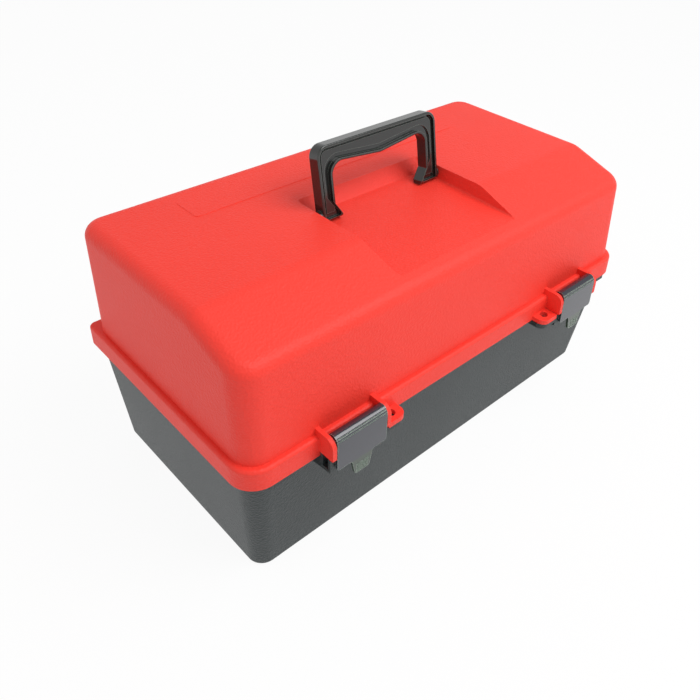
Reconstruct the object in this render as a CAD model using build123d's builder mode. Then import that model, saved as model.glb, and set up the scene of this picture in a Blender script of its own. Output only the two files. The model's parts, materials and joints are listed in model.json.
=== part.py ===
from build123d import *

import os
from math import atan2, cos, degrees, radians, sin, tan

# Plastic tool box with a deep hinged lid and two cantilever trays.
# Millimetres. The origin is at the bottom centre of the box, X runs along its
# length, the latches are on the -Y side, the hinges are on the +Y side, +Z is up.

# Overall sizes
box_length = 400.0
rim_depth = 203.0
box_height = 203.0
split_height = 99.0
wall = 2.5

# Skirt of the lid, and the base wall that stands inside it
rim_height = 16.0
rim_corner = 19.0
rim_back_corner = 5.0
rim_edge = 2.5
nest_gap = 2.5
seat_gap = 0.3
base_draft = 9.7
base_front_draft = 12.4
base_back_draft = 0.5
base_corner = 12.0
base_back_corner = 6.0
base_edge = 3.0

# Dome of the lid
foot_inset = 4.2
dome_corner = 16.0
lid_draft = 0.8
lid_front_draft = 4.0
top_edge = 10.0
crease_from_centre = 44.3
crease_blend = 25.0
facet_angle = 18.4

# Bare plate on the lid, behind the handle
plate_from_end = 69.5
plate_width = 28.0
plate_from_centre = 62.0
plate_height = 0.3
plate_corner = 3.0

# Carrying handle
handle_width = 117.0
handle_rise = 51.5
handle_leg = 12.0
handle_band = 13.2
handle_dip = 5.0
handle_thickness = 10.0
handle_corner = 9.0
handle_inner_corner = 9.5
handle_lean = 9.2
handle_from_centre = 2.0
handle_below_top = 5.2
handle_toe = 6.0
handle_toe_rise = 12.0
handle_rim = 2.0
handle_outer_groove = 2.2
handle_inner_groove = 4.2
handle_groove_depth = 3.2
handle_plateau_step = 1.8
handle_edge = 0.9
trunnion_radius = 3.0
trunnion_length = 5.8
trunnion_pad = 1.6

# Recess that takes the folded handle
recess_draft = 1.5
recess_back = 25.0
recess_back_run = 9.0
recess_corner = 4.0
recess_floor_gap = 0.4
recess_floor_tilt = 1.4

# Latches
latch_from_end = 80.3
latch_width = 42.6
latch_reach = 13.5
latch_roll_radius = 5.0
latch_roll_wall = 1.8
latch_axis_above_split = 17.2
latch_plate = 2.2
latch_drop = 23.2
latch_tab_drop = 13.4
latch_tab_top = 18.0
latch_tab_foot = 12.5
latch_tab_ribs = 6
latch_rib_share = 0.6
latch_groove = 0.6
latch_groove_angle = 14.0
latch_groove_step = 23.0
latch_pin_radius = 2.0
latch_pin_length = 2.4
ear_thickness = 3.2
ear_gap = 0.5
ear_rise = 3.8
ear_corner = 7.0
ear_lift = 4.0

# Padlock eyes beside the latches, and the keeper blocks below them
eye_length = 17.5
eye_reach = 11.8
eye_thickness = 4.0
eye_corner = 6.5
eye_hole_radius = 3.4
eye_hole_inset = 8.5
eye_hole_reach = 4.4
eye_gap = 0.6
keeper_gap = 0.6
keeper_drop = 8.0
keeper_lip = 4.0
lip_gap = 1.0
keeper_wall = 2.2
lip_pad_length = 19.0
lip_pad_from_end = 17.5
lip_pad_height = 4.0
lip_pad_inset = 1.0

# Hinges
hinge_from_end = 80.0
hinge_width = 46.0
hinge_lug_width = 10.0
hinge_reach = 13.5
knuckle_radius = 4.5
knuckle_gap = 0.5
knuckle_rise = 12.0
lug_drop = 18.0
hinge_pin_radius = 1.6

# Fits between the moving pieces
run_clearance = 0.06
press_clearance = 0.03
side_gap = 0.3

# Cantilever mechanism, in distances from the hinge side and from the split line
arm_thickness = 2.0
arm_width = 11.0
link_thickness = 2.0
link_wall_gap = 5.0
rivet_radius = 2.0
rivet_head_radius = 3.6
rivet_head_height = 1.0
boss_radius = 6.0
boss_wall_reach = 1.2
arm_pivot_from_centre = 72.0
arm_pivot_above_split = 5.0
lower_arm_length = 55.0
lower_arm_angle = -5.0
upper_arm_length = 110.0
upper_arm_angle = 10.0
link_arm_length = 50.0
link_arm_angle = 35.0
lower_front_shift = 90.0
lower_front_drop = 14.0
upper_front_shift = 39.2
upper_front_rise = 3.3

# Trays
tray_wall = 2.0
tray_floor = 2.0
tray_gap = 0.8
tray_draft = 1.2
tray_corner = 8.0
tray_rim = 1.6
tray_rim_height = 3.0
tray_boss_radius = 5.0
tray_boss_length = 5.0
lower_tray_front = 86.0
lower_tray_back = 66.0
lower_tray_bottom = 70.0
lower_tray_height = 38.0
upper_tray_front = 84.0
upper_tray_back = 58.0
upper_tray_height = 36.0
tray_stack_gap = 2.0
partition = 1.6
partition_drop = 4.0
lower_rear_cells = 4
upper_cells = 3
lower_partition_share = 0.42
upper_partition_share = 0.5

os.makedirs("parts", exist_ok=True)


# Places that several pieces share

half_length = box_length / 2
half_rim = rim_depth / 2
rim_top = split_height + rim_height
ledge = rim_top - wall
base_top = ledge - seat_gap
skirt_inset = wall + nest_gap
base_half_length = half_length - skirt_inset
base_half_depth = half_rim - skirt_inset
foot_half_length = half_length - foot_inset
foot_half_depth = half_rim - foot_inset

hinge_centre = half_length - hinge_from_end
hinge_y = half_rim + hinge_reach - knuckle_radius
hinge_z = split_height
latch_centre = half_length - latch_from_end
latch_front = half_rim + latch_reach
latch_y = -(latch_front - latch_roll_radius)
latch_z = split_height + latch_axis_above_split
keeper_reach = latch_reach - latch_plate - keeper_gap

handle_y = handle_from_centre
handle_z = box_height - handle_below_top
recess_width = handle_width + 2 * (trunnion_pad + recess_draft + 2 * side_gap)
plate_length = box_length - 2 * plate_from_end
recess_floor_z = handle_z - handle_thickness / 2 - recess_floor_gap

inner_half_length = base_half_length - wall
link_outer = inner_half_length - link_wall_gap
link_inner = link_outer - link_thickness
arm_outer = link_inner - side_gap
arm_inner = arm_outer - arm_thickness
head_inner = arm_inner - side_gap / 2 - rivet_head_height
tray_side = head_inner - tray_gap
boss_face = link_outer + side_gap
tray_boss_face = head_inner - side_gap


def base_half_width_at(height):
    """Half length of the base's inner face at a height below the split."""
    share = min(height / split_height, 1.0)
    return inner_half_length - base_draft * (1 - share)


def base_front_at(height):
    """Distance of the base's front face from the middle."""
    return base_half_depth - base_front_draft * (1 - height / split_height)


def base_back_at(height):
    return base_half_depth - base_back_draft * (1 - height / split_height)


def swing(length, angle):
    """Offset in Y and Z of a point on an arm that leans towards the front."""
    return (-length * cos(radians(angle)), length * sin(radians(angle)))


def shifted(point, offset):
    return (point[0] + offset[0], point[1] + offset[1])


arm_pivot = (arm_pivot_from_centre, split_height + arm_pivot_above_split)
lower_tray_pivot = shifted(arm_pivot, swing(lower_arm_length, lower_arm_angle))
upper_tray_pivot = shifted(arm_pivot, swing(upper_arm_length, upper_arm_angle))
link_arm_pivot = shifted(arm_pivot, swing(link_arm_length, link_arm_angle))
link_lid_pivot = shifted((hinge_y, hinge_z), swing(link_arm_length, link_arm_angle))
front_shift = (-lower_front_shift, -lower_front_drop)
front_base_pivot = shifted(arm_pivot, front_shift)
front_lower_pivot = shifted(lower_tray_pivot, front_shift)
upper_shift = (-upper_front_shift, upper_front_rise)
upper_low_pivot = shifted(lower_tray_pivot, upper_shift)
upper_high_pivot = shifted(upper_tray_pivot, upper_shift)


def side_plane(x):
    """Plane square to X, whose own axes are the box's Y and Z."""
    return Plane.YZ.offset(x)


def side_pin(x_from, x_to, point, radius):
    """Round pin or boss along X between two places."""
    with BuildPart() as pin:
        with BuildSketch(side_plane(x_from)):
            with Locations(point):
                Circle(radius)
        extrude(amount=x_to - x_from)
    return pin.part


def level_outline(height, half, front, back, corner, back_corner):
    """Level outline of the box or of its inside, with its own corners at the back."""
    with BuildSketch(Plane.XY.offset(height)) as face:
        with Locations((0, (back - front) / 2)):
            Rectangle(2 * half, front + back)
        fillet(face.vertices().group_by(Axis.Y)[0], corner)
        fillet(face.vertices().group_by(Axis.Y)[-1], back_corner)
    return face.sketch


# Base shell


def keeper_block():
    """Trough under a latch, open at its ends, with a lip in front of the skirt."""
    width = latch_width + 2 * (ear_gap + ear_thickness)
    front = -(half_rim + keeper_reach)
    low = split_height - keeper_drop
    lip_back = -(half_rim + lip_gap)
    lip_top = split_height + keeper_lip
    under = split_height - eye_gap
    inside = -(base_half_depth - wall)
    with BuildPart() as block:
        with BuildSketch(side_plane(latch_centre)):
            with BuildLine():
                Polyline(
                    (inside, low - keeper_wall),
                    (front, low),
                    (front, lip_top),
                    (lip_back, lip_top),
                    (lip_back, under),
                    (inside, under),
                    close=True,
                )
            make_face()
        extrude(amount=width / 2, both=True)
        with BuildSketch(Plane.XY.offset(lip_top)):
            with Locations((latch_centre, (front + lip_back) / 2)):
                Rectangle(2 * width, lip_back - front - 2 * keeper_wall)
        extrude(amount=-(keeper_lip + keeper_drop - keeper_wall), mode=Mode.SUBTRACT)
        rims = block.edges().filter_by(Axis.X).group_by(Axis.Y)[0]
        fillet(rims, keeper_gap * 2)
    return block.part


def eye_plate(top, joined, reach):
    """Flat padlock eye beside a latch, from its top face down."""
    outer = latch_centre - latch_width / 2 - ear_gap - ear_thickness
    back = -(base_half_depth - wall)
    front = -(half_rim + reach)
    with BuildPart() as eye:
        with BuildSketch(Plane.XY.offset(top)) as outline:
            with BuildLine():
                Polyline(
                    (outer + joined, back),
                    (outer + joined, front),
                    (outer - eye_length, front),
                    (outer - eye_length, back),
                    close=True,
                )
            make_face()
            corner = outline.vertices().group_by(Axis.X)[0].sort_by(Axis.Y)[0]
            fillet(corner, eye_corner)
            with Locations((outer - eye_hole_inset, -(half_rim + eye_hole_reach))):
                Circle(eye_hole_radius, mode=Mode.SUBTRACT)
        extrude(amount=-eye_thickness)
    return eye.part


def hinge_web(x_from, width, inside, run, side):
    """Arm that holds a hinge pin: below the split line for -1, above it for 1."""
    flat = split_height + side * eye_gap
    reach = knuckle_radius * cos(radians(45))
    with BuildPart() as lug:
        with BuildSketch(side_plane(x_from)):
            with BuildLine():
                Polyline(
                    (inside, flat),
                    (hinge_y, flat),
                    (hinge_y + reach, hinge_z + side * reach),
                    (inside, split_height + side * run),
                    close=True,
                )
            make_face()
            with Locations((hinge_y, hinge_z)):
                Circle(knuckle_radius)
        extrude(amount=width)
    return lug.part


hinge_starts = (-hinge_centre - hinge_width / 2, hinge_centre - hinge_width / 2)

with BuildPart() as base_cavity:
    inner_half_depth = base_half_depth - wall
    inner_corner = rim_corner - skirt_inset - wall
    inner_back_corner = base_back_corner - wall
    inner_top = level_outline(
        split_height,
        inner_half_length,
        inner_half_depth,
        inner_half_depth,
        inner_corner,
        inner_back_corner,
    )
    add(
        level_outline(
            wall,
            base_half_width_at(wall),
            base_front_at(wall) - wall,
            base_back_at(wall) - wall,
            base_corner - wall,
            inner_back_corner,
        )
    )
    add(inner_top)
    loft(ruled=True)
    fillet(base_cavity.edges().group_by(Axis.Z)[0], base_edge)
    add(inner_top)
    extrude(amount=base_top - split_height)

with BuildPart() as base_shell:
    outer_top = level_outline(
        split_height,
        base_half_length,
        base_half_depth,
        base_half_depth,
        rim_corner - skirt_inset,
        base_back_corner,
    )
    add(
        level_outline(
            0,
            base_half_length - base_draft,
            base_front_at(0),
            base_back_at(0),
            base_corner,
            base_back_corner,
        )
    )
    add(outer_top)
    loft(ruled=True)
    fillet(base_shell.edges().group_by(Axis.Z)[0], base_edge)
    add(outer_top)
    extrude(amount=base_top - split_height)

    # Keeper blocks, padlock tabs and lip pads along the front
    keeper = keeper_block()
    add(keeper)
    add(mirror(keeper, about=Plane.YZ, mode=Mode.PRIVATE))
    base_eye = eye_plate(split_height - eye_gap, ear_thickness, keeper_reach)
    add(base_eye)
    add(mirror(base_eye, about=Plane.YZ, mode=Mode.PRIVATE))
    pad_x = half_length - lip_pad_from_end - lip_pad_length / 2
    with BuildSketch(Plane.XY.offset(split_height - eye_gap)):
        with Locations((-pad_x, -base_half_depth), (pad_x, -base_half_depth)):
            Rectangle(lip_pad_length, 2 * (skirt_inset - lip_pad_inset))
    extrude(amount=-lip_pad_height)

    # Hinge lugs along the back
    for start in hinge_starts:
        for step in (0, hinge_width - hinge_lug_width):
            inside = base_half_depth - wall
            add(hinge_web(start + step, hinge_lug_width, inside, lug_drop, -1))
    add(base_cavity.part, mode=Mode.SUBTRACT)
    with BuildSketch(side_plane(-half_length)):
        with Locations((hinge_y, hinge_z)):
            Circle(hinge_pin_radius + press_clearance)
    extrude(amount=box_length, mode=Mode.SUBTRACT)

    # Bosses for the arms, on the inner faces of both ends
    for point in (arm_pivot, front_base_pivot):
        wall_x = base_half_width_at(point[1]) + boss_wall_reach
        for side in (-1, 1):
            add(side_pin(side * boss_face, side * wall_x, point, boss_radius))
            add(
                side_pin(
                    side * boss_face,
                    side * wall_x,
                    point,
                    rivet_radius + press_clearance,
                ),
                mode=Mode.SUBTRACT,
            )

base_shell.part.label = "base_shell"
export_step(base_shell.part, "parts/base_shell.step")


# Lid shell


def dome_half_length_at(height):
    share = (height - rim_top) / (box_height - rim_top)
    return foot_half_length - lid_draft * share


def dome_front_at(height):
    share = (height - rim_top) / (box_height - rim_top)
    return foot_half_depth - lid_front_draft * share


def dome_back_at(height):
    return dome_half_length_at(height) - foot_half_length + foot_half_depth


def facet_height_at(y, inset):
    """Height of the sloping front of the lid, or of a face inset below it."""
    run = -crease_from_centre - y
    return box_height - run * tan(radians(facet_angle)) - inset / cos(radians(facet_angle))


def dome(foot, inset):
    """Outer shape of the lid above a height, or the space inside its walls."""
    top = box_height - inset
    with BuildPart() as block:
        for height in (foot, top):
            add(
                level_outline(
                    height,
                    dome_half_length_at(height) - inset,
                    dome_front_at(height) - inset,
                    dome_back_at(height) - inset,
                    dome_corner - inset,
                    dome_corner - inset,
                )
            )
        loft(ruled=True)
        with BuildSketch(Plane.YZ):
            with BuildLine():
                Polyline(
                    (0, facet_height_at(0, inset)),
                    (-rim_depth, facet_height_at(-rim_depth, inset)),
                    (-rim_depth, 2 * box_height),
                    (0, 2 * box_height),
                    close=True,
                )
            make_face()
        extrude(amount=box_length, both=True, mode=Mode.SUBTRACT)
        crease = block.edges().filter_by(Axis.X).filter_by(
            lambda edge: abs(edge.center().Z - top) < wall and abs(edge.center().Y) < half_rim / 2
        )
        fillet(crease, crease_blend - inset)
        upper = block.faces().filter_by(lambda face: face.normal_at(face.center()).Z > 0.85)
        walls = block.faces().filter_by(
            lambda face: abs(face.normal_at(face.center()).Z) < 0.3
        )
        wall_edges = walls.edges()
        border = [
            edge
            for edge in upper.edges()
            if any(edge.is_same(other) for other in wall_edges)
        ]
        fillet(border, top_edge - inset)
    return block.part


def recess_half_width_at(height):
    drop = (box_height - height) / (box_height - recess_floor_z)
    return recess_width / 2 - recess_draft * drop


def recess_floor_at(y, grow):
    return recess_floor_z + (y - handle_y) * tan(radians(recess_floor_tilt)) - grow


def recess_block(grow):
    """Space of the handle recess, or of its walls when it is grown."""
    low = recess_floor_z - 4 * wall
    high = box_height + 4 * wall
    lean = recess_back_run / (box_height - recess_floor_z)
    foot = recess_back - recess_back_run + grow * (1 + lean**2) ** 0.5
    foot -= grow * lean
    foot_z = recess_floor_at(foot, grow)
    with BuildPart() as block:
        for height in (low, high):
            with BuildSketch(Plane.XY.offset(height)):
                Rectangle(2 * (recess_half_width_at(height) + grow), 2 * rim_depth)
        loft(ruled=True)
        with BuildSketch(Plane.YZ):
            with BuildLine():
                Polyline(
                    (-half_rim, recess_floor_at(-half_rim, grow)),
                    (foot, foot_z),
                    (foot + (high - foot_z) * lean, high),
                    (-half_rim, high),
                    close=True,
                )
            make_face()
        extrude(amount=recess_width, both=True, mode=Mode.INTERSECT)
        back = block.faces().sort_by(Axis.Y)[-1]
        fillet(
            back.edges().filter_by(lambda edge: abs(edge.center().X) > recess_width / 4),
            recess_corner + grow,
        )
        floor = block.faces().sort_by(Axis.Z)[0]
        fillet(
            floor.edges().filter_by(lambda edge: edge.center().Y > -half_rim + wall),
            recess_corner / 2 + grow,
        )
    return block.part


def latch_ear(x_from):
    """Plate that stands out from the lid beside a latch."""
    inside = -(foot_half_depth - wall / 2)
    with BuildPart() as ear:
        with BuildSketch(side_plane(x_from)) as outline:
            with BuildLine():
                Polyline(
                    (inside, latch_z + ear_rise),
                    (-latch_front, latch_z + ear_rise),
                    (-latch_front, split_height + ear_lift),
                    (inside, split_height + ear_lift),
                    close=True,
                )
            make_face()
            fillet(outline.vertices().group_by(Axis.X)[0].sort_by(Axis.Y)[-1], ear_corner)
            fillet(outline.vertices().group_by(Axis.X)[0].sort_by(Axis.Y)[0], ear_gap * 2)
        extrude(amount=ear_thickness)
    return ear.part


with BuildPart() as lid_cavity:
    add(
        level_outline(
            split_height - wall,
            half_length - wall,
            half_rim - wall,
            half_rim - wall,
            rim_corner - wall,
            rim_back_corner - wall,
        )
    )
    extrude(amount=ledge - split_height + wall)
    add(dome(ledge - wall, wall))
    add(recess_block(wall), mode=Mode.SUBTRACT)

with BuildPart() as lid_shell:
    # Stepped rim, then the dome above it
    add(
        level_outline(
            split_height, half_length, half_rim, half_rim, rim_corner, rim_back_corner
        )
    )
    extrude(amount=rim_height)
    fillet(lid_shell.edges().group_by(Axis.Z)[-1], rim_edge)
    add(dome(rim_top - rim_edge, 0))

    # Bare plate behind the handle
    with BuildSketch(Plane.XY.offset(box_height - wall / 2)):
        with Locations((0, plate_from_centre)):
            RectangleRounded(plate_length, plate_width, plate_corner)
    extrude(amount=wall / 2 + plate_height)

    # Ears for the latches, padlock eyes beside them
    ear_from = latch_width / 2 + ear_gap
    for side in (-1, 1):
        add(latch_ear(side * latch_centre + ear_from))
        add(latch_ear(side * latch_centre - ear_from - ear_thickness))
    lid_eye = eye_plate(split_height + eye_thickness, -side_gap, eye_reach)
    add(lid_eye)
    add(mirror(lid_eye, about=Plane.YZ, mode=Mode.PRIVATE))

    # Hinge knuckles between the lugs of the base
    for start in hinge_starts:
        add(
            hinge_web(
                start + hinge_lug_width + knuckle_gap,
                hinge_width - 2 * (hinge_lug_width + knuckle_gap),
                half_rim - wall / 2,
                knuckle_rise,
                1,
            )
        )

    # Inside of the lid and handle recess
    add(lid_cavity.part, mode=Mode.SUBTRACT)
    add(recess_block(0), mode=Mode.SUBTRACT)

    # Bosses inside the lid: lid links at the ends, handle trunnions by the recess
    pivot_wall = recess_half_width_at(handle_z)
    pivot_end = handle_width / 2 + trunnion_pad + trunnion_length + side_gap
    for side in (-1, 1):
        link_end = dome_half_length_at(link_lid_pivot[1]) - wall / 2
        add(side_pin(side * boss_face, side * link_end, link_lid_pivot, boss_radius))
        add(
            side_pin(
                side * boss_face,
                side * (link_end - wall / 2),
                link_lid_pivot,
                rivet_radius + press_clearance,
            ),
            mode=Mode.SUBTRACT,
        )
        with BuildSketch(side_plane(side * (pivot_wall + wall / 2))):
            with Locations((handle_y, handle_z - boss_radius / 2)):
                Rectangle(2 * boss_radius, boss_radius + 2 * (box_height - handle_z) - wall)
        extrude(amount=side * (pivot_end + wall / 2 - pivot_wall))
        add(
            side_pin(
                side * (pivot_wall - wall),
                side * pivot_end,
                (handle_y, handle_z),
                trunnion_radius + run_clearance,
            ),
            mode=Mode.SUBTRACT,
        )

    # Blind holes for the latch pins, holes through the knuckles
    for side in (-1, 1):
        reach = latch_width / 2 + latch_pin_length + side_gap
        add(
            side_pin(
                side * latch_centre - reach,
                side * latch_centre + reach,
                (latch_y, latch_z),
                latch_pin_radius + run_clearance,
            ),
            mode=Mode.SUBTRACT,
        )
    with BuildSketch(side_plane(-half_length)):
        with Locations((hinge_y, hinge_z)):
            Circle(hinge_pin_radius + run_clearance)
    extrude(amount=box_length, mode=Mode.SUBTRACT)

lid_shell.part.label = "lid_shell"
export_step(lid_shell.part, "parts/lid_shell.step")


# Carrying handle, standing and leaning back on its heels

lean_back = radians(handle_lean)
handle_plane = Plane(
    origin=(0, handle_y, handle_z),
    x_dir=(1, 0, 0),
    z_dir=(0, -cos(lean_back), sin(lean_back)),
)
handle_half = handle_width / 2
heel_slack = recess_floor_gap / 4
heel_drop = handle_thickness / 2 + recess_floor_gap - heel_slack
handle_foot = -(heel_drop - handle_thickness / 2 * sin(lean_back)) / cos(lean_back)


def handle_face(outer, inner, foot_margin, offset):
    """Front view of the handle, drawn in by a margin along each of its outlines."""
    side = handle_half - outer
    leg = handle_half - handle_leg + inner
    under = handle_rise - handle_band + inner
    foot = handle_foot + foot_margin
    with BuildSketch(handle_plane.offset(offset)) as face:
        with BuildLine():
            right = Polyline(
                (0, handle_rise - outer),
                (side, handle_rise - outer),
                (side, foot),
                (leg - handle_toe, foot),
                (leg - handle_toe, foot + handle_toe / 2),
                (leg, foot + handle_toe_rise),
                (leg, under),
                (0, under - handle_dip),
            )
            mirror(right, about=Plane.YZ)
        make_face()
        corners = face.vertices().filter_by(lambda v: abs(v.X) > handle_half / 2)
        fillet(corners.group_by(Axis.Y)[-1], handle_corner - outer)
        arch = face.vertices().filter_by(
            lambda v: abs(v.Y - under) < handle_rim / 2
            and abs(abs(v.X) - leg) < handle_rim / 2
        )
        fillet(arch, handle_inner_corner + inner / 2)
        tip = face.vertices().filter_by(lambda v: abs(v.X) < handle_rim / 2)
        fillet(tip.sort_by(Axis.Y)[0], handle_corner)
    return face.sketch


def faces_along(part, direction):
    """Flat faces of a part that look along a direction or against it."""
    return part.faces().filter_by(
        lambda face: abs(face.normal_at(face.center()).dot(direction)) > 0.99
    )


handle_front = handle_plane.z_dir
half_thickness = handle_thickness / 2
with BuildPart() as handle:
    add(handle_face(0, 0, 0, 0))
    extrude(amount=half_thickness, both=True, dir=handle_front)
    fillet(faces_along(handle, handle_front).edges(), handle_edge)

    # Round toes in front; the heels behind stay square and stop the handle
    with BuildSketch(side_plane(-handle_half)):
        with Locations((handle_y, handle_z)):
            Rectangle(
                handle_thickness,
                handle_thickness,
                rotation=-handle_lean,
                align=(Align.MAX, Align.MAX),
            )
            Circle(half_thickness, mode=Mode.SUBTRACT)
    extrude(amount=handle_width, mode=Mode.SUBTRACT)

    # Grooves in both faces, on either side of a raised middle
    for side in (-1, 1):
        add(handle_face(handle_rim, handle_rim, handle_rim, side * half_thickness))
        extrude(
            amount=handle_groove_depth, dir=handle_front * -side, mode=Mode.SUBTRACT
        )
    add(
        handle_face(
            handle_rim + handle_outer_groove,
            handle_rim + handle_inner_groove,
            handle_rim + handle_inner_groove,
            0,
        )
    )
    extrude(amount=half_thickness - handle_plateau_step, both=True, dir=handle_front)

    # Pads and trunnions at the feet
    pad_end = handle_half + trunnion_pad
    for side in (-1, 1):
        add(
            side_pin(
                side * (handle_half - handle_rim),
                side * pad_end,
                (handle_y, handle_z),
                half_thickness - handle_edge / 2,
            )
        )
        add(
            side_pin(
                side * (handle_half - handle_rim),
                side * (pad_end + trunnion_length),
                (handle_y, handle_z),
                trunnion_radius,
            )
        )

handle.part.label = "handle"
export_step(handle.part, "parts/handle.step")


# Latches


plate_foot = latch_z - latch_drop
tab_foot = plate_foot - latch_tab_drop
with BuildPart() as latch_right:
    # Face plate with its finger tab
    with BuildSketch(Plane.XZ.offset(latch_front)) as outline:
        with Locations((latch_centre, plate_foot)):
            Rectangle(latch_width, latch_drop, align=(Align.CENTER, Align.MIN))
        with BuildLine():
            Polyline(
                (latch_centre - latch_tab_top / 2, plate_foot),
                (latch_centre - latch_tab_foot / 2, tab_foot),
                (latch_centre + latch_tab_foot / 2, tab_foot),
                (latch_centre + latch_tab_top / 2, plate_foot),
                close=True,
            )
        make_face()
        low = outline.vertices().filter_by(lambda v: v.Y < plate_foot + latch_plate)
        fillet(low, latch_plate)
    extrude(amount=-latch_plate)

    # Roll about the pivot axis, hollow from below between its two ends
    with BuildSketch(side_plane(latch_centre)):
        with Locations((latch_y, latch_z)):
            Circle(latch_roll_radius)
    extrude(amount=latch_width / 2, both=True)
    hollow = latch_roll_radius - latch_roll_wall
    with BuildSketch(side_plane(latch_centre)):
        with Locations((latch_y, latch_z)):
            Circle(hollow)
            Rectangle(
                2 * hollow, 2 * latch_roll_radius, align=(Align.CENTER, Align.MAX)
            )
    extrude(amount=latch_width / 2 - latch_roll_wall, both=True, mode=Mode.SUBTRACT)

    # Two fine grooves along the roll, finger ribs on the tab
    with BuildSketch(side_plane(latch_centre)):
        for step in range(2):
            angle = latch_groove_angle + step * latch_groove_step
            with Locations(shifted((latch_y, latch_z), swing(latch_roll_radius, angle))):
                Rectangle(2 * latch_groove, latch_groove, rotation=-angle)
    extrude(amount=latch_width / 2, both=True, mode=Mode.SUBTRACT)
    rib_step = latch_tab_drop * latch_rib_share / latch_tab_ribs
    with BuildSketch(Plane.XZ.offset(latch_front)):
        for step in range(latch_tab_ribs):
            rib_z = tab_foot + latch_groove + (step + 0.5) * rib_step
            with Locations((latch_centre, rib_z)):
                Rectangle(latch_tab_foot - latch_plate, rib_step / 2)
    extrude(amount=-latch_groove, mode=Mode.SUBTRACT)
    for end in (-1, 1):
        face = latch_centre + end * latch_width / 2
        add(
            side_pin(
                face - end * latch_roll_wall,
                face + end * latch_pin_length,
                (latch_y, latch_z),
                latch_pin_radius,
            )
        )

with BuildPart() as latch_left:
    mirror(latch_right.part, about=Plane.YZ)

latch_right.part.label = "latch_right"
latch_left.part.label = "latch_left"
export_step(latch_right.part, "parts/latch_right.step")
export_step(latch_left.part, "parts/latch_left.step")


# Hinge pins


def hinge_pin(x_from):
    with BuildPart() as pin:
        with BuildSketch(side_plane(x_from + knuckle_gap)):
            with Locations((hinge_y, hinge_z)):
                Circle(hinge_pin_radius)
        extrude(amount=hinge_width - 2 * knuckle_gap)
        chamfer(pin.edges().filter_by(GeomType.CIRCLE), hinge_pin_radius / 4)
    return pin


hinge_pin_left = hinge_pin(hinge_starts[0])
hinge_pin_right = hinge_pin(hinge_starts[1])
hinge_pin_left.part.label = "hinge_pin_left"
hinge_pin_right.part.label = "hinge_pin_right"
export_step(hinge_pin_left.part, "parts/hinge_pin_left.step")
export_step(hinge_pin_right.part, "parts/hinge_pin_right.step")


# Trays


def tray_body(front, back, bottom, height, inset):
    """Outer shape of a tray below its rim, or the space inside it."""
    half = tray_side - tray_rim - inset
    depth = front + back - 2 * (tray_rim + inset)
    floor = bottom + (tray_floor if inset else 0)
    with BuildPart() as body:
        with BuildSketch(Plane.XY.offset(floor)):
            with Locations((0, (back - front) / 2)):
                RectangleRounded(
                    2 * (half - tray_draft), depth - 2 * tray_draft, tray_corner - inset
                )
        with BuildSketch(Plane.XY.offset(bottom + height)):
            with Locations((0, (back - front) / 2)):
                RectangleRounded(2 * half, depth, tray_corner - inset)
        loft(ruled=True)
        fillet(body.edges().group_by(Axis.Z)[0], tray_wall)
    return body.part


def tray(front, back, bottom, height, share, front_cells, back_cells, pivots):
    """Open tray with a rim, one wall along it, walls across it and pivot bosses."""
    top = bottom + height
    middle = (back - front) / 2
    divide = -front + share * (front + back)
    with BuildPart() as cells:
        add(tray_body(front, back, bottom, height, tray_wall))
        with BuildSketch(Plane.XY.offset(bottom)):
            with Locations((0, divide)):
                Rectangle(2 * tray_side, partition)
            for step in range(1, front_cells):
                x = (2 * step / front_cells - 1) * tray_side
                with Locations((x, divide)):
                    Rectangle(partition, 2 * front, align=(Align.CENTER, Align.MAX))
            for step in range(1, back_cells):
                x = (2 * step / back_cells - 1) * tray_side
                with Locations((x, divide)):
                    Rectangle(partition, 2 * back, align=(Align.CENTER, Align.MIN))
        extrude(amount=height - partition_drop, mode=Mode.SUBTRACT)
    with BuildPart() as shell:
        add(tray_body(front, back, bottom, height, 0))
        with BuildSketch(Plane.XY.offset(top)):
            with Locations((0, middle)):
                RectangleRounded(2 * tray_side, front + back, tray_corner + tray_rim)
        extrude(amount=-tray_rim_height)
        fillet(shell.edges().group_by(Axis.Z)[-1], tray_rim / 2)
        for point in pivots:
            for side in (-1, 1):
                start = side * (tray_side - tray_boss_length)
                outside = side * tray_boss_face
                add(side_pin(start, outside, point, tray_boss_radius))
        add(cells.part, mode=Mode.SUBTRACT)
        for point in pivots:
            for side in (-1, 1):
                start = side * (tray_side - tray_boss_length)
                outside = side * tray_boss_face
                add(side_pin(start, outside, point, tray_boss_radius))
                add(
                    side_pin(
                        start + side * tray_wall,
                        outside,
                        point,
                        rivet_radius + press_clearance,
                    ),
                    mode=Mode.SUBTRACT,
                )
    return shell


upper_tray_bottom = lower_tray_bottom + lower_tray_height + tray_stack_gap
lower_tray = tray(
    lower_tray_front,
    lower_tray_back,
    lower_tray_bottom,
    lower_tray_height,
    lower_partition_share,
    1,
    lower_rear_cells,
    (lower_tray_pivot, front_lower_pivot, upper_low_pivot),
)
upper_tray = tray(
    upper_tray_front,
    upper_tray_back,
    upper_tray_bottom,
    upper_tray_height,
    upper_partition_share,
    upper_cells,
    upper_cells - 1,
    (upper_tray_pivot, upper_high_pivot),
)
lower_tray.part.label = "lower_tray"
upper_tray.part.label = "upper_tray"
export_step(lower_tray.part, "parts/lower_tray.step")
export_step(upper_tray.part, "parts/upper_tray.step")


# Arms and links of the tray mechanism


def strap(start, end):
    """Flat strap with round ends between two pivots, in the sketch being drawn."""
    run = end[0] - start[0]
    rise = end[1] - start[1]
    with Locations(((start[0] + end[0]) / 2, (start[1] + end[1]) / 2)):
        SlotCenterToCenter(
            (run**2 + rise**2) ** 0.5, arm_width, rotation=degrees(atan2(rise, run))
        )


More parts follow.
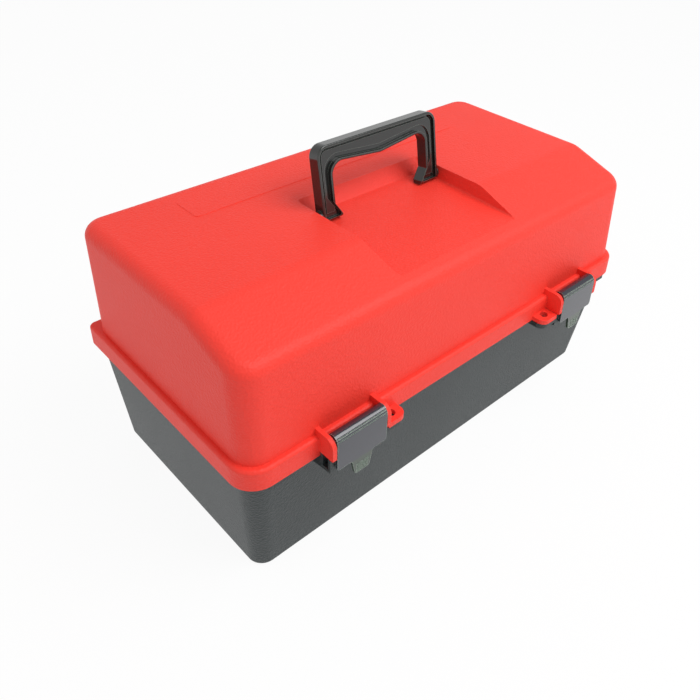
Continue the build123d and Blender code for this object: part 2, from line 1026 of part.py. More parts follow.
def plate(x_from, thickness, straps, running, pressed):
    """Punched plate made of straps, with running holes and press holes."""
    with BuildPart() as steel:
        with BuildSketch(side_plane(x_from)):
            for start, end in straps:
                strap(start, end)
            with Locations(*running):
                Circle(rivet_radius + run_clearance, mode=Mode.SUBTRACT)
            if pressed:
                with Locations(*pressed):
                    Circle(rivet_radius + press_clearance, mode=Mode.SUBTRACT)
        extrude(amount=thickness)
    return steel


lift_arm_right = plate(
    arm_inner,
    arm_thickness,
    (
        (arm_pivot, lower_tray_pivot),
        (lower_tray_pivot, upper_tray_pivot),
        (arm_pivot, link_arm_pivot),
        (link_arm_pivot, lower_tray_pivot),
    ),
    (arm_pivot, lower_tray_pivot, upper_tray_pivot),
    (link_arm_pivot,),
)
lid_link_right = plate(
    link_inner,
    link_thickness,
    ((link_arm_pivot, link_lid_pivot),),
    (link_arm_pivot, link_lid_pivot),
    (),
)
lower_front_arm_right = plate(
    arm_inner,
    arm_thickness,
    ((front_base_pivot, front_lower_pivot),),
    (front_base_pivot, front_lower_pivot),
    (),
)
upper_front_arm_right = plate(
    arm_inner,
    arm_thickness,
    ((upper_low_pivot, upper_high_pivot),),
    (upper_low_pivot, upper_high_pivot),
    (),
)

with BuildPart() as lift_arm_left:
    mirror(lift_arm_right.part, about=Plane.YZ)
with BuildPart() as lid_link_left:
    mirror(lid_link_right.part, about=Plane.YZ)
with BuildPart() as lower_front_arm_left:
    mirror(lower_front_arm_right.part, about=Plane.YZ)
with BuildPart() as upper_front_arm_left:
    mirror(upper_front_arm_right.part, about=Plane.YZ)

lift_arm_right.part.label = "lift_arm_right"
lift_arm_left.part.label = "lift_arm_left"
lid_link_right.part.label = "lid_link_right"
lid_link_left.part.label = "lid_link_left"
lower_front_arm_right.part.label = "lower_front_arm_right"
lower_front_arm_left.part.label = "lower_front_arm_left"
upper_front_arm_right.part.label = "upper_front_arm_right"
upper_front_arm_left.part.label = "upper_front_arm_left"
export_step(lift_arm_right.part, "parts/lift_arm_right.step")
export_step(lift_arm_left.part, "parts/lift_arm_left.step")
export_step(lid_link_right.part, "parts/lid_link_right.step")
export_step(lid_link_left.part, "parts/lid_link_left.step")
export_step(lower_front_arm_right.part, "parts/lower_front_arm_right.step")
export_step(lower_front_arm_left.part, "parts/lower_front_arm_left.step")
export_step(upper_front_arm_right.part, "parts/upper_front_arm_right.step")
export_step(upper_front_arm_left.part, "parts/upper_front_arm_left.step")


# Rivets


def rivet(x_tip, x_head, point, shoulder=()):
    """Shank from its hidden tip to its domed head, with a shoulder that spaces an arm."""
    away = 1 if x_head > x_tip else -1
    with BuildPart() as body:
        add(side_pin(x_tip, x_head, point, rivet_radius))
        if shoulder:
            add(side_pin(*shoulder, point, rivet_head_radius))
        with BuildPart(mode=Mode.PRIVATE) as head:
            add(side_pin(x_head, x_head + away * rivet_head_height, point, rivet_head_radius))
            rims = head.edges().filter_by(GeomType.CIRCLE).sort_by(Axis.X)
            fillet(rims[-1] if away > 0 else rims[0], rivet_head_height * 0.6)
        add(head.part)
    return body.part


def on_both_sides(rivets):
    """Group of rivets and their mirror images at the other end of the box."""
    with BuildPart() as group:
        for one in rivets:
            add(one)
            mirror(one, about=Plane.YZ)
    return group


head_gap = side_gap / 2
inner_head = arm_inner - head_gap
outer_head = arm_outer + head_gap
base_tip = inner_half_length - boss_wall_reach
lid_tip = dome_half_length_at(link_lid_pivot[1]) - wall - side_gap
tray_tip = tray_side - tray_boss_length + tray_wall + side_gap

base_shoulder = (outer_head, boss_face - press_clearance)
tray_shoulder = (tray_boss_face + press_clearance, inner_head)

base_rivets = on_both_sides(
    [
        rivet(base_tip, inner_head, point, base_shoulder)
        for point in (arm_pivot, front_base_pivot)
    ]
)
lid_rivets = on_both_sides([rivet(lid_tip, link_inner - head_gap, link_lid_pivot)])
lower_tray_rivets = on_both_sides(
    [
        rivet(tray_tip, outer_head, point, tray_shoulder)
        for point in (lower_tray_pivot, front_lower_pivot, upper_low_pivot)
    ]
)
upper_tray_rivets = on_both_sides(
    [
        rivet(tray_tip, outer_head, point, tray_shoulder)
        for point in (upper_tray_pivot, upper_high_pivot)
    ]
)
with BuildPart() as link_rivet_right:
    add(rivet(link_outer, inner_head, link_arm_pivot))
    add(rivet(arm_outer, link_outer + head_gap, link_arm_pivot))
with BuildPart() as link_rivet_left:
    mirror(link_rivet_right.part, about=Plane.YZ)

base_rivets.part.label = "base_rivets"
lid_rivets.part.label = "lid_rivets"
lower_tray_rivets.part.label = "lower_tray_rivets"
upper_tray_rivets.part.label = "upper_tray_rivets"
link_rivet_right.part.label = "link_rivet_right"
link_rivet_left.part.label = "link_rivet_left"
export_step(base_rivets.part, "parts/base_rivets.step")
export_step(lid_rivets.part, "parts/lid_rivets.step")
export_step(lower_tray_rivets.part, "parts/lower_tray_rivets.step")
export_step(upper_tray_rivets.part, "parts/upper_tray_rivets.step")
export_step(link_rivet_right.part, "parts/link_rivet_right.step")
export_step(link_rivet_left.part, "parts/link_rivet_left.step")
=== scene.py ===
# %% [markdown]
# A moulded tool box
#
# This lesson dresses a plastic tool box: a red lid on a dark base, a folding carrying handle,
# two latches, and two trays that rise on steel arms when the lid opens. The solid pieces
# come ready made, in metres, with the box resting on z = 0 and its latches towards -Y.
# What is left to make is how they look: how moulded plastic, plated steel and soft studio
# light behave. No piece is added, because every shape is already in the solids.

import json
from math import radians

import bmesh
import bpy
from mathutils import Matrix, Vector


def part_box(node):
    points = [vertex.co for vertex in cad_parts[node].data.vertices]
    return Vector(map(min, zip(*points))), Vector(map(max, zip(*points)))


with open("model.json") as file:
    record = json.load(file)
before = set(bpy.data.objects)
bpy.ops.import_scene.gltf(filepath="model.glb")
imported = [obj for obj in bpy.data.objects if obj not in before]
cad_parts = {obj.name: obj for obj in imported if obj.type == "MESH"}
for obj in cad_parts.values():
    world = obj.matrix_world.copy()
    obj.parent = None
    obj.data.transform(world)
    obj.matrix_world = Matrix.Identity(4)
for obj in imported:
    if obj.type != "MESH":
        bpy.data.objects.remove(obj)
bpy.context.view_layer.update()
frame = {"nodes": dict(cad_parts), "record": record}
print("pieces:", ", ".join(sorted(frame["nodes"])))

# %% [markdown]
# The camera
#
# The photographer stood in front of the left corner and looked down on the lid. A camera is
# its place, the way it points and its lens. Turning it about Z gives the heading, tilting it
# about X gives the downward look, and a last small turn about its own axis is the roll.
# The camera is only about 60 cm from the middle of the box, so the near corner looks large.
# The shift slides the picture in its frame without turning the camera.

# %% Place the camera
camera_place = Vector((-0.355756, -0.365155, 0.460776))
camera_heading = radians(-45.2747)
camera_downward = radians(33.7677)
camera_roll = radians(2.9078)
sensor_width_mm = 36.0
lens_mm = 38.6803
shift_right = -0.0561718
shift_up = -0.1000258

camera_data = bpy.data.cameras.new("photo_camera")
camera_data.sensor_width = sensor_width_mm
camera_data.lens = lens_mm
camera_data.shift_x = shift_right
camera_data.shift_y = shift_up
camera = bpy.data.objects.new("photo_camera", camera_data)
bpy.context.scene.collection.objects.link(camera)
heading = Matrix.Rotation(camera_heading, 4, "Z")
tilt = Matrix.Rotation(radians(90) - camera_downward, 4, "X")
roll = Matrix.Rotation(camera_roll, 4, "Z")
camera.matrix_world = Matrix.Translation(camera_place) @ heading @ tilt @ roll
bpy.context.scene.camera = camera
bpy.context.scene.view_settings.view_transform = "Standard"
print("camera looks along", [round(v, 3) for v in -camera.matrix_world.col[2].xyz])

# %% [markdown]
# Small helpers for node trees
#
# A material is a graph: nodes make colours and numbers, links carry them. Building a graph
# in code gets long, so four helpers keep it readable. One adds a node and sets its sockets,
# one joins two sockets, one starts a material and one starts a group of nodes that several
# materials can share.

# %% Helpers for nodes, materials and groups
def add_node(tree, kind, values=None, **settings):
    """Add a node, set its properties and then its unlinked input sockets."""
    node = tree.nodes.new(kind)
    for name, value in settings.items():
        setattr(node, name, value)
    for name, value in (values or {}).items():
        node.inputs[name].default_value = value
    return node


def join(tree, source, target):
    """Link an output socket to an input socket."""
    tree.links.new(source, target)


def new_material(name):
    """Start a material and return it with its node tree and its shader."""
    material = bpy.data.materials.new(name)
    material.use_nodes = True
    tree = material.node_tree
    return material, tree, tree.nodes["Principled BSDF"]


def new_group(name, inputs, outputs):
    """Start a shader node group with named sockets and return its tree and its two ends."""
    tree = bpy.data.node_groups.new(name, "ShaderNodeTree")
    for label, kind, value in inputs:
        socket = tree.interface.new_socket(label, in_out="INPUT", socket_type=kind)
        if value is not None:
            socket.default_value = value
    for label, kind in outputs:
        tree.interface.new_socket(label, in_out="OUTPUT", socket_type=kind)
    start = tree.nodes.new("NodeGroupInput")
    end = tree.nodes.new("NodeGroupOutput")
    return tree, start, end


# %% [markdown]
# The grain of moulded plastic
#
# A steel mould is etched so that the plastic comes out with a fine pebbled skin. It hides
# flow marks and scratches, and it spreads a highlight into a wide soft sheen. Two layers make
# it: cells about a millimetre wide, which are the pebbles, and a finer noise over them. The
# group gives only a height, and each material decides how strongly it shows. On the shells
# the height is larger than a real etch, so that the grain still shows from a step away.

# %% Node group: pebbled grain
grain_tree, grain_in, grain_out = new_group(
    "pebbled_grain",
    [
        ("Place", "NodeSocketVector", None),
        ("Pebbles per metre", "NodeSocketFloat", 900.0),
        ("Fine share", "NodeSocketFloat", 0.35),
    ],
    [("Height", "NodeSocketFloat")],
)
pebbles = add_node(
    grain_tree, "ShaderNodeTexVoronoi", {"Smoothness": 0.6}, feature="SMOOTH_F1"
)
fine = add_node(grain_tree, "ShaderNodeTexNoise", {"Detail": 3.0, "Roughness": 0.6})
fine_scale = add_node(grain_tree, "ShaderNodeMath", {1: 2.7}, operation="MULTIPLY")
grain_mix = add_node(grain_tree, "ShaderNodeMix", data_type="FLOAT")
join(grain_tree, grain_in.outputs["Place"], pebbles.inputs["Vector"])
join(grain_tree, grain_in.outputs["Place"], fine.inputs["Vector"])
join(grain_tree, grain_in.outputs["Pebbles per metre"], pebbles.inputs["Scale"])
join(grain_tree, grain_in.outputs["Pebbles per metre"], fine_scale.inputs[0])
join(grain_tree, fine_scale.outputs[0], fine.inputs["Scale"])
join(grain_tree, grain_in.outputs["Fine share"], grain_mix.inputs["Factor"])
join(grain_tree, pebbles.outputs["Distance"], grain_mix.inputs[2])
join(grain_tree, fine.outputs["Fac"], grain_mix.inputs[3])
join(grain_tree, grain_mix.outputs[0], grain_out.inputs["Height"])
print("made", grain_tree.name)

# %% [markdown]
# Slow changes of colour
#
# No large moulding is one exact colour. Pigment and wall thickness vary a little, and the
# surface picks up a haze from handling. A low, wide noise moves the colour a few percent
# towards a darker and a lighter neighbour. Kept small, it is felt rather than seen.

# %% Node group: colour drift
drift_tree, drift_in, drift_out = new_group(
    "colour_drift",
    [
        ("Place", "NodeSocketVector", None),
        ("Colour", "NodeSocketColor", (0.5, 0.5, 0.5, 1.0)),
        ("Amount", "NodeSocketFloat", 0.1),
        ("Patches per metre", "NodeSocketFloat", 9.0),
    ],
    [("Colour", "NodeSocketColor"), ("Patches", "NodeSocketFloat")],
)
patches = add_node(drift_tree, "ShaderNodeTexNoise", {"Detail": 4.0, "Roughness": 0.55})
centred = add_node(drift_tree, "ShaderNodeMath", {1: 0.5}, operation="SUBTRACT")
scaled = add_node(drift_tree, "ShaderNodeMath", operation="MULTIPLY")
brightness = add_node(drift_tree, "ShaderNodeMath", {1: 1.0}, operation="ADD")
tinted = add_node(drift_tree, "ShaderNodeVectorMath", operation="SCALE")
join(drift_tree, drift_in.outputs["Place"], patches.inputs["Vector"])
join(drift_tree, drift_in.outputs["Patches per metre"], patches.inputs["Scale"])
join(drift_tree, patches.outputs["Fac"], centred.inputs[0])
join(drift_tree, centred.outputs[0], scaled.inputs[0])
join(drift_tree, drift_in.outputs["Amount"], scaled.inputs[1])
join(drift_tree, scaled.outputs[0], brightness.inputs[0])
join(drift_tree, drift_in.outputs["Colour"], tinted.inputs[0])
join(drift_tree, brightness.outputs[0], tinted.inputs["Scale"])
join(drift_tree, tinted.outputs[0], drift_out.inputs["Colour"])
join(drift_tree, patches.outputs["Fac"], drift_out.inputs["Patches"])
print("made", drift_tree.name)

# %% [markdown]
# Handling marks
#
# A box in use gets rubbed: faint streaks where things brushed past it. Noise that is
# stretched along one direction makes streaks, and a steep ramp keeps only its peaks, so most of
# the surface stays clean. Where the mask is high, a material is a little smoother.

# %% Node group: handling marks
marks_tree, marks_in, marks_out = new_group(
    "handling_marks",
    [
        ("Place", "NodeSocketVector", None),
        ("Marks per metre", "NodeSocketFloat", 60.0),
        ("Share kept", "NodeSocketFloat", 0.35),
    ],
    [("Mask", "NodeSocketFloat")],
)
stretch = add_node(
    marks_tree,
    "ShaderNodeMapping",
    {"Rotation": (0.3, 0.5, 0.7), "Scale": (0.18, 1.0, 1.0)},
)
streaks = add_node(marks_tree, "ShaderNodeTexNoise", {"Detail": 6.0, "Roughness": 0.7})
lower = add_node(marks_tree, "ShaderNodeMath", {0: 1.0}, operation="SUBTRACT")
peaks = add_node(marks_tree, "ShaderNodeMapRange")
join(marks_tree, marks_in.outputs["Place"], stretch.inputs["Vector"])
join(marks_tree, stretch.outputs["Vector"], streaks.inputs["Vector"])
join(marks_tree, marks_in.outputs["Marks per metre"], streaks.inputs["Scale"])
join(marks_tree, marks_in.outputs["Share kept"], lower.inputs[1])
join(marks_tree, streaks.outputs["Fac"], peaks.inputs["Value"])
join(marks_tree, lower.outputs[0], peaks.inputs["From Min"])
join(marks_tree, peaks.outputs["Result"], marks_out.inputs["Mask"])
print("made", marks_tree.name)

# %% [markdown]
# Worn edges
#
# Corners are what a box rubs with, so their colour pales first. A Bevel node gives the normal
# as if edges were rounded, and where that differs from the true normal there is an edge.
# Broken up with noise, the band looks worn, not drawn. On the glossy handle and latches the
# same band is a painted highlight: a narrow, even, pale line that stands for the light their
# edges catch.

# %% Node group: edge wear and painted edge highlights
pale_edge_tree, pale_edge_in, pale_edge_out = new_group(
    "edge_wear_and_highlight",
    [
        ("Place", "NodeSocketVector", None),
        ("Band in metres", "NodeSocketFloat", 0.0012),
        ("Strength", "NodeSocketFloat", 1.0),
        ("Evenness", "NodeSocketFloat", 0.1),
    ],
    [("Mask", "NodeSocketFloat")],
)
rounded = add_node(pale_edge_tree, "ShaderNodeBevel", samples=4)
surface = add_node(pale_edge_tree, "ShaderNodeNewGeometry")
alike = add_node(pale_edge_tree, "ShaderNodeVectorMath", operation="DOT_PRODUCT")
edge_band = add_node(
    pale_edge_tree, "ShaderNodeMapRange", {"From Min": 0.995, "From Max": 0.9}
)
broken = add_node(pale_edge_tree, "ShaderNodeTexNoise", {"Scale": 220.0, "Detail": 4.0})
broken_band = add_node(
    pale_edge_tree, "ShaderNodeMapRange", {"From Min": 0.35, "From Max": 0.75}
)
edge_marked = add_node(pale_edge_tree, "ShaderNodeMath", operation="MULTIPLY")
edge_marked_scaled = add_node(pale_edge_tree, "ShaderNodeMath", operation="MULTIPLY")
join(pale_edge_tree, pale_edge_in.outputs["Band in metres"], rounded.inputs["Radius"])
join(pale_edge_tree, rounded.outputs["Normal"], alike.inputs[0])
join(pale_edge_tree, surface.outputs["Normal"], alike.inputs[1])
join(pale_edge_tree, alike.outputs["Value"], edge_band.inputs["Value"])
join(pale_edge_tree, pale_edge_in.outputs["Place"], broken.inputs["Vector"])
join(pale_edge_tree, broken.outputs["Fac"], broken_band.inputs["Value"])
join(pale_edge_tree, pale_edge_in.outputs["Evenness"], broken_band.inputs["To Min"])
join(pale_edge_tree, edge_band.outputs["Result"], edge_marked.inputs[0])
join(pale_edge_tree, broken_band.outputs["Result"], edge_marked.inputs[1])
join(pale_edge_tree, edge_marked.outputs[0], edge_marked_scaled.inputs[0])
join(pale_edge_tree, pale_edge_in.outputs["Strength"], edge_marked_scaled.inputs[1])
join(pale_edge_tree, edge_marked_scaled.outputs[0], pale_edge_out.inputs["Mask"])
print("made", pale_edge_tree.name)

# %% [markdown]
# One recipe for the plastics
#
# Lid, base, handle, latches and trays are all moulded plastic. They differ in colour, in how
# coarse the grain is and in how rough the skin is. One function with named values keeps them
# alike where they should be, and the shader itself stays in each material.

# %% Material recipe: moulded plastic
def place_group(tree, group, place, values):
    """Add a shared group, feed it the object's own coordinates and set its values."""
    node = add_node(tree, "ShaderNodeGroup", node_tree=group)
    join(tree, place, node.inputs["Place"])
    for name, value in values.items():
        node.inputs[name].default_value = value
    return node


plastic_ior = 1.5
gloss_spread = 0.04
polish_of_marks = 0.08


def moulded_plastic(
    name, colour, roughness, pebbles_per_metre, grain_depth, drift, pale_edges, pale_edge_colour
):
    """Plastic with a pebbled skin, a slow drift of colour, pale edges and faint marks. The pale
    edges are rubbed wear on the shells and a painted highlight on the glossy pieces.
    """
    material, tree, shader = new_material(name)
    shader.inputs["IOR"].default_value = plastic_ior
    place = add_node(tree, "ShaderNodeTexCoord").outputs["Object"]
    drifted = place_group(tree, drift_tree, place, {"Colour": colour, "Amount": drift})
    marks = place_group(tree, marks_tree, place, {})
    edges = place_group(tree, pale_edge_tree, place, pale_edges)
    # Pale edge colour: rubbed wear on the shells, a painted highlight on the handle and
    # latches.
    pale_edged = add_node(tree, "ShaderNodeMix", data_type="RGBA", blend_type="MIX")
    pale_edged.inputs[7].default_value = pale_edge_colour
    join(tree, edges.outputs["Mask"], pale_edged.inputs["Factor"])
    join(tree, drifted.outputs["Colour"], pale_edged.inputs[6])
    join(tree, pale_edged.outputs[2], shader.inputs["Base Color"])

    gloss = add_node(
        tree,
        "ShaderNodeMapRange",
        {"To Min": roughness + gloss_spread, "To Max": roughness - gloss_spread},
    )
    join(tree, drifted.outputs["Patches"], gloss.inputs["Value"])
    polished = add_node(tree, "ShaderNodeMath", {1: polish_of_marks}, operation="MULTIPLY")
    final_gloss = add_node(tree, "ShaderNodeMath", operation="SUBTRACT")
    join(tree, marks.outputs["Mask"], polished.inputs[0])
    join(tree, gloss.outputs["Result"], final_gloss.inputs[0])
    join(tree, polished.outputs[0], final_gloss.inputs[1])
    join(tree, final_gloss.outputs[0], shader.inputs["Roughness"])

    grain = place_group(
        tree, grain_tree, place, {"Pebbles per metre": pebbles_per_metre}
    )
    bump = add_node(tree, "ShaderNodeBump", {"Strength": 1.0, "Distance": grain_depth})
    join(tree, grain.outputs["Height"], bump.inputs["Height"])
    join(tree, bump.outputs["Normal"], shader.inputs["Normal"])
    return material


print("plastic recipe ready")

# %% [markdown]
# The shells and the trays
#
# The shells are coarse and dull, and the trays inside have a finer skin. Each plastic is one
# call of the recipe, so that a look can be changed in one place. Lengths are in metres, and
# the edge colour is the paler tone where an edge is rubbed.

# %% Plastics of the shells and the trays
lid_plastic = moulded_plastic(
    "lid_plastic",
    colour=(0.87, 0.046, 0.030, 1),
    roughness=0.48,
    pebbles_per_metre=650,
    grain_depth=0.00042,
    drift=0.08,
    pale_edges={"Strength": 0.35},
    pale_edge_colour=(1, 0.11, 0.08, 1),
)
base_plastic = moulded_plastic(
    "base_plastic",
    colour=(0.020, 0.028, 0.029, 1),
    roughness=0.46,
    pebbles_per_metre=650,
    grain_depth=0.00075,
    drift=0.25,
    pale_edges={"Strength": 0.4},
    pale_edge_colour=(0.11, 0.13, 0.13, 1),
)
tray_plastic = moulded_plastic(
    "tray_plastic",
    colour=(0.10, 0.105, 0.11, 1),
    roughness=0.48,
    pebbles_per_metre=1000,
    grain_depth=0.00008,
    drift=0.2,
    pale_edges={"Strength": 0.4},
    pale_edge_colour=(0.16, 0.17, 0.17, 1),
)
# Lowered from the shader's 0.5 to take a white veil off the lid where it is seen at a slant
lid_mirror_level = 0.28
lid_shader = lid_plastic.node_tree.nodes["Principled BSDF"]
lid_shader.inputs["Specular IOR Level"].default_value = lid_mirror_level
print("made", lid_plastic.name, base_plastic.name, tray_plastic.name)

# %% [markdown]
# The handle and the latches
#
# Handle and latches are nearly smooth. They use the same recipe with hardly any grain. Their
# narrow, even band of pale edge colour is a painted highlight: it stands for the thin lines of
# light that run along their edges.

# %% Plastics of the handle and the latches
handle_plastic = moulded_plastic(
    "handle_plastic",
    colour=(0.014, 0.016, 0.015, 1),
    roughness=0.18,
    pebbles_per_metre=1600,
    grain_depth=0.00001,
    drift=0.25,
    pale_edges={"Strength": 0.7, "Band in metres": 0.0007, "Evenness": 0.6},
    # The pale edge colour is a painted highlight along the handle's edges.
    pale_edge_colour=(0.20, 0.24, 0.21, 1),
)
latch_plastic = moulded_plastic(
    "latch_plastic",
    colour=(0.022, 0.024, 0.036, 1),
    roughness=0.16,
    pebbles_per_metre=1600,
    grain_depth=0.00001,
    drift=0.1,
    pale_edges={"Strength": 1.0, "Band in metres": 0.0005, "Evenness": 0.8},
    # The pale edge colour is a painted highlight along the latches' edges.
    pale_edge_colour=(0.40, 0.50, 0.41, 1),
)
print("made", handle_plastic.name, latch_plastic.name)

# %% [markdown]
# A clear gloss
#
# Handle and latches are far glossier than the shells. Their plastic is nearly black, and what
# shows is the gloss over it: pale where it mirrors the white room, dark where it mirrors the
# ceiling, as along the roll of a latch. Roughness alone gives one shine. The shader's coat
# adds a second, sharper one over it, and its strength can be set for each piece.

# %% Gloss of the handle and the latches
gloss_roughness = 0.06
handle_gloss = 0.35
latch_gloss = 0.55
for plastic, gloss in ((handle_plastic, handle_gloss), (latch_plastic, latch_gloss)):
    glossy_shader = plastic.node_tree.nodes["Principled BSDF"]
    glossy_shader.inputs["Coat Weight"].default_value = gloss
    glossy_shader.inputs["Coat Roughness"].default_value = gloss_roughness
    print(plastic.name, "has a coat of", gloss)

# %% [markdown]
# The painted sheen of the finger tabs
#
# The ribbed finger tab below each latch is painted lighter and greener than the plate above
# it. That is painted sheen: the real tab leans outward, faces more upward and catches more
# light. Tab and plate are one moulding, so the colour changes by height inside one material.
# The height is taken from the latch itself, and it stays with the latch when that turns.

# %% Painted sheen of the finger tabs
def colour_below(material, height, fade, low_colour):
    """Give the part of a piece that lies below a height another colour."""
    tree = material.node_tree
    drifted = next(n for n in tree.nodes if getattr(n, "node_tree", None) == drift_tree)
    parts = add_node(tree, "ShaderNodeSeparateXYZ")
    low = add_node(
        tree, "ShaderNodeMapRange", {"From Min": height + fade, "From Max": height - fade}
    )
    either = add_node(tree, "ShaderNodeMix", data_type="RGBA", blend_type="MIX")
    either.inputs[6].default_value = drifted.inputs["Colour"].default_value
    either.inputs[7].default_value = low_colour
    place = add_node(tree, "ShaderNodeTexCoord").outputs["Object"]
    join(tree, place, parts.inputs[0])
    join(tree, parts.outputs["Z"], low.inputs["Value"])
    join(tree, low.outputs["Result"], either.inputs["Factor"])
    join(tree, either.outputs[2], drifted.inputs["Colour"])


tab_height = 0.0128
tab_fade = 0.0004
# Painted sheen: a lighter, greener tone for the light that the tilted tabs catch.
tab_sheen_colour = (0.020, 0.038, 0.020, 1)
tab_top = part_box("latch_left")[0][2] + tab_height
colour_below(latch_plastic, tab_top, tab_fade, tab_sheen_colour)
print("finger tabs begin at z =", round(tab_top, 4))

# %% [markdown]
# Zinc plated steel
#
# The arms, links, rivets and hinge pins are mild steel with a thin bright zinc plate. Zinc
# looks grey and slightly blue, with a cloudy gloss that changes from patch to patch, and fine
# lines from the rolling of the sheet. Metallic is 1, and the roughness does the work.

# %% Material recipe: zinc plated steel
clouds_per_metre = 120.0
cloud_amount = 0.35
cloud_smoother = 0.1
cloud_rougher = 0.12
line_depth = 0.00003


def zinc_steel(name, colour, roughness, lines_per_metre):
    """Plated steel with cloudy gloss and fine rolling lines along Y."""
    material, tree, shader = new_material(name)
    shader.inputs["Metallic"].default_value = 1.0
    place = add_node(tree, "ShaderNodeTexCoord").outputs["Object"]
    drifted = place_group(
        tree,
        drift_tree,
        place,
        {
            "Colour": colour,
            "Amount": cloud_amount,
            "Patches per metre": clouds_per_metre,
        },
    )
    join(tree, drifted.outputs["Colour"], shader.inputs["Base Color"])
    cloudy = add_node(
        tree,
        "ShaderNodeMapRange",
        {"To Min": roughness - cloud_smoother, "To Max": roughness + cloud_rougher},
    )
    join(tree, drifted.outputs["Patches"], cloudy.inputs["Value"])
    join(tree, cloudy.outputs["Result"], shader.inputs["Roughness"])
    along = add_node(tree, "ShaderNodeMapping", {"Scale": (1.0, 0.04, 1.0)})
    lines = add_node(
        tree, "ShaderNodeTexNoise", {"Scale": lines_per_metre, "Detail": 2.0}
    )
    bump = add_node(tree, "ShaderNodeBump", {"Strength": 0.5, "Distance": line_depth})
    join(tree, place, along.inputs["Vector"])
    join(tree, along.outputs["Vector"], lines.inputs["Vector"])
    join(tree, lines.outputs["Fac"], bump.inputs["Height"])
    join(tree, bump.outputs["Normal"], shader.inputs["Normal"])
    return material


arm_steel = zinc_steel(
    "arm_steel", colour=(0.62, 0.63, 0.64, 1), roughness=0.34, lines_per_metre=2600
)
rivet_steel = zinc_steel(
    "rivet_steel", colour=(0.55, 0.56, 0.57, 1), roughness=0.28, lines_per_metre=3200
)
print("made", arm_steel.name, rivet_steel.name)

# %% [markdown]
# Dress the pieces
#
# Every solid keeps its mesh and gets a finish in its material slot. The record says which
# slot each piece belongs to, so a short table from slot to finish is enough.

# %% Give each piece its finish
finish_of_slot = {
    "lid_plastic": lid_plastic,
    "base_plastic": base_plastic,
    "handle_plastic": handle_plastic,
    "latch_plastic": latch_plastic,
    "tray_plastic": tray_plastic,
    "arm_steel": arm_steel,
    "rivet_steel": rivet_steel,
}
for entry in frame["record"]["subparts"]:
    piece = frame["nodes"][entry["node"]]
    finish = finish_of_slot[entry["material_slot"]]
    if not piece.material_slots:
        piece.data.materials.append(finish)
    for slot in piece.material_slots:
        slot.material = finish
    print(entry["node"], "->", finish.name)

# %% [markdown]
# Floor
#
# Product photographs are shot on white. The floor is a large pale sheet that catches a soft
# shadow. A plain sheet would turn grey away from the lamps, so to the camera, and in
# anything glossy, it glows with a strength of 1, which is white. Part of the plain sheet
# stays mixed in, because that is what carries the shadow.

# %% Pale floor
def seen_or_mirrored(tree):
    """1 for a ray from the camera, from a gloss or through a clear piece, 0 for the rest."""
    rays = add_node(tree, "ShaderNodeLightPath")
    direct = add_node(tree, "ShaderNodeMath", operation="MAXIMUM")
    mirrored = add_node(tree, "ShaderNodeMath", operation="MAXIMUM")
    join(tree, rays.outputs["Is Camera Ray"], direct.inputs[0])
    join(tree, rays.outputs["Is Transmission Ray"], direct.inputs[1])
    join(tree, direct.outputs[0], mirrored.inputs[0])
    join(tree, rays.outputs["Is Glossy Ray"], mirrored.inputs[1])
    return mirrored.outputs[0]


floor_half_size = 6.0
floor_colour = (0.86, 0.86, 0.86, 1)
floor_roughness = 0.9
floor_glow_share = 0.93

floor_mesh = bpy.data.meshes.new("floor")
floor_bm = bmesh.new()
bmesh.ops.create_grid(floor_bm, x_segments=1, y_segments=1, size=floor_half_size)
floor_bm.to_mesh(floor_mesh)
floor_bm.free()
floor = bpy.data.objects.new("floor", floor_mesh)
bpy.context.scene.collection.objects.link(floor)

floor_material, floor_tree, sheet = new_material("floor_sheet")
sheet.inputs["Base Color"].default_value = floor_colour
sheet.inputs["Roughness"].default_value = floor_roughness
white = add_node(floor_tree, "ShaderNodeEmission", {"Strength": 1.0})
glow = add_node(
    floor_tree, "ShaderNodeMath", {1: floor_glow_share}, operation="MULTIPLY"
)
shown = add_node(floor_tree, "ShaderNodeMixShader")
floor_end = floor_tree.nodes["Material Output"]
join(floor_tree, seen_or_mirrored(floor_tree), glow.inputs[0])
join(floor_tree, glow.outputs[0], shown.inputs["Fac"])
join(floor_tree, sheet.outputs[0], shown.inputs[1])
join(floor_tree, white.outputs[0], shown.inputs[2])
join(floor_tree, shown.outputs[0], floor_end.inputs["Surface"])
floor_mesh.materials.append(floor_material)
print("floor is", 2 * floor_half_size, "m wide")

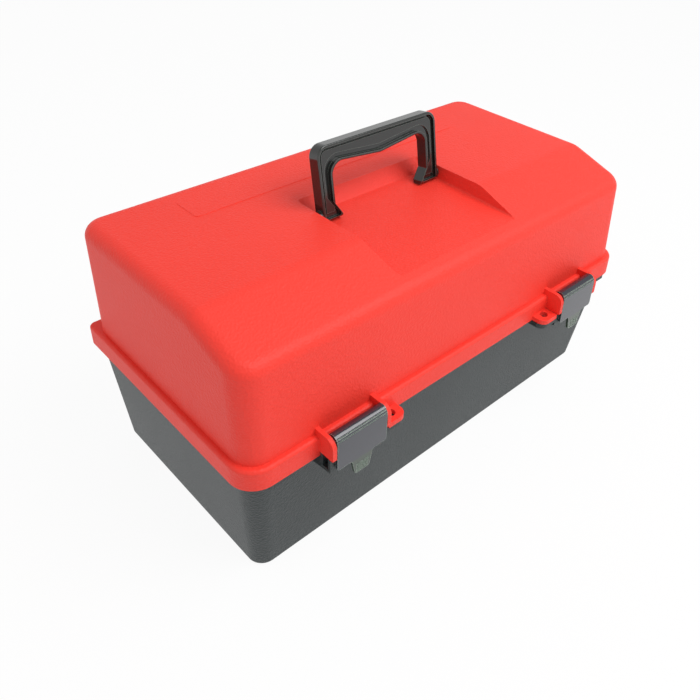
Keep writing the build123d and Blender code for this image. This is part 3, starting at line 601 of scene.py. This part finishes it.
# %% [markdown]
# The white room
#
# The room has two jobs. As light it is plain and even. Where it is seen or mirrored it is
# white at the horizon and dims towards the top, because the ceiling of a studio is dark
# between its lamps. That is what gives a glossy roll its dark band.

# %% White world
sky_light = 0.60
horizon_white = 1.0
overhead_dark = 0.30

world = bpy.data.worlds.new("studio")
bpy.context.scene.world = world
world.use_nodes = True
world_tree = world.node_tree
backdrop = world_tree.nodes["Background"]
backdrop.inputs["Color"].default_value = (1, 1, 1, 1)
towards = add_node(world_tree, "ShaderNodeTexCoord")
direction = add_node(world_tree, "ShaderNodeSeparateXYZ")
mirrored_light = add_node(
    world_tree, "ShaderNodeMapRange", {"To Min": horizon_white, "To Max": overhead_dark}
)
strength = add_node(world_tree, "ShaderNodeMix", data_type="FLOAT")
strength.inputs[2].default_value = sky_light
join(world_tree, towards.outputs["Generated"], direction.inputs[0])
join(world_tree, direction.outputs["Z"], mirrored_light.inputs["Value"])
join(world_tree, seen_or_mirrored(world_tree), strength.inputs["Factor"])
join(world_tree, mirrored_light.outputs["Result"], strength.inputs[3])
join(world_tree, strength.outputs[0], backdrop.inputs["Strength"])
print("world lights with a strength of", sky_light)

# %% [markdown]
# Studio lamps
#
# Large soft boxes make wide, gentle highlights, which is what a grained plastic needs to look
# like plastic. Small lamps would leave bright spots and hard shadows instead. The main one
# hangs above and in front, and a weaker one lifts the left end.

# %% Soft boxes
def soft_box(name, place, aim, size, power):
    """A square area lamp that looks at a point."""
    lamp_data = bpy.data.lights.new(name, "AREA")
    lamp_data.shape = "SQUARE"
    lamp_data.size = size
    lamp_data.energy = power
    lamp = bpy.data.objects.new(name, lamp_data)
    bpy.context.scene.collection.objects.link(lamp)
    lamp.location = place
    lamp.rotation_euler = (Vector(aim) - Vector(place)).to_track_quat("-Z", "Y").to_euler()
    print(name, "at", place, "with", power, "W")


box_middle = (0.0, 0.0, 0.12)
soft_box("main_box", place=(0.35, -0.7, 1.25), aim=box_middle, size=0.9, power=13.5)
soft_box("left_box", place=(-1.2, 0.3, 0.7), aim=box_middle, size=0.8, power=0.8)
